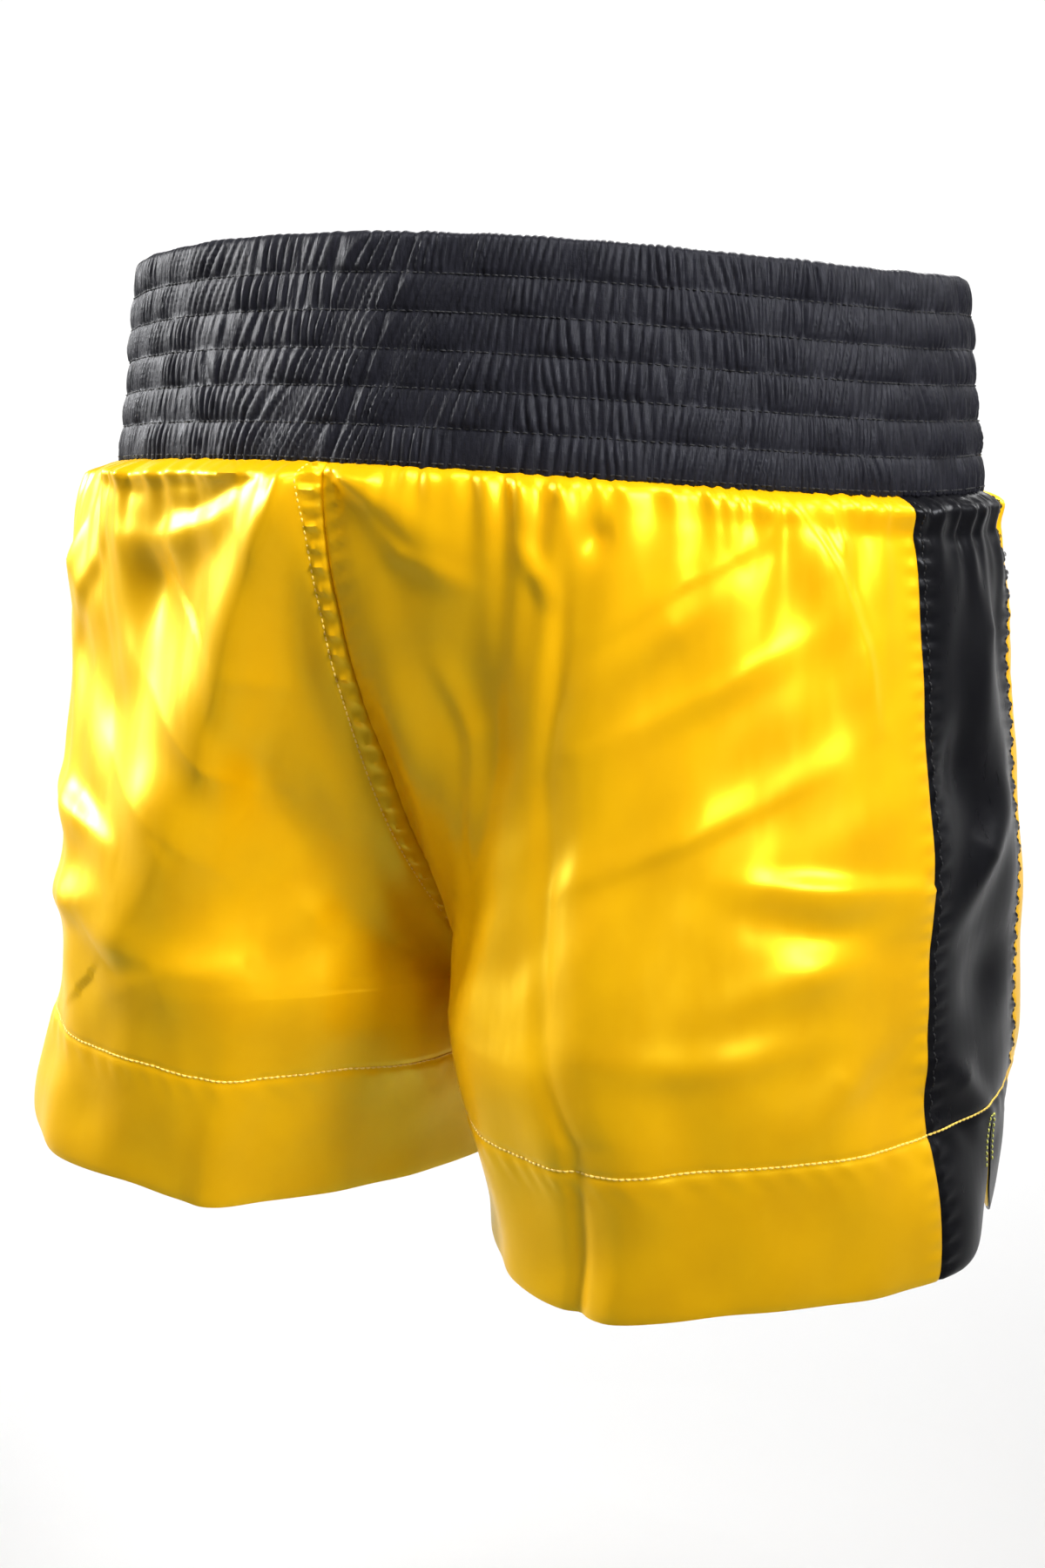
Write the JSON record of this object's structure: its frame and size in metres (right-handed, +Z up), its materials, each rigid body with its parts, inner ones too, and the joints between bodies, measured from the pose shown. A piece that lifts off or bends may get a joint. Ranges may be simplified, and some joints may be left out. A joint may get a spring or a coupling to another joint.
{
  "type": "boxing shorts",
  "caption": "Two-tone satin boxing shorts with a wide gathered elastic waistband, contrast side panels, deep stitched hems and side vents.",
  "frame": {"origin": "middle of the waist opening, level with the waistband's top edge at the sides", "axes": "+Z up out of the waist opening, +X towards the wearer's left, +Y towards the wearer's back, so the front faces -Y"},
  "size_m": [0.4046, 0.2871, 0.3694],
  "materials": {
    "yellow_satin": "satin",
    "black_satin": "satin",
    "band_satin": "satin",
    "elastic": "matte",
    "yellow_thread": "matte",
    "black_thread": "matte"
  },
  "bodies": {
    "root": {"waistband_casing": "band_satin", "waist_elastic_1": "elastic", "channel_stitch_1": "black_thread", "waist_elastic_2": "elastic", "channel_stitch_2": "black_thread", "waist_elastic_3": "elastic", "channel_stitch_3": "black_thread", "waist_elastic_4": "elastic", "channel_stitch_4": "black_thread", "waist_elastic_5": "elastic", "channel_stitch_5": "black_thread", "waist_elastic_6": "elastic", "channel_stitch_6": "black_thread", "front_panel_left": "yellow_satin", "back_panel_left": "yellow_satin", "side_panel_left": "black_satin", "hem_facing_left": "yellow_satin", "hem_stitch_left": "yellow_thread", "vent_stitch_left": "yellow_thread", "front_side_stitch_left": "black_thread", "back_side_stitch_left": "black_thread", "inseam_stitch_left": "yellow_thread", "front_panel_right": "yellow_satin", "back_panel_right": "yellow_satin", "side_panel_right": "black_satin", "hem_facing_right": "yellow_satin", "hem_stitch_right": "yellow_thread", "vent_stitch_right": "yellow_thread", "front_side_stitch_right": "black_thread", "back_side_stitch_right": "black_thread", "inseam_stitch_right": "yellow_thread", "centre_front_stitch": "yellow_thread", "centre_back_stitch": "yellow_thread"}
  },
  "joints": []
}
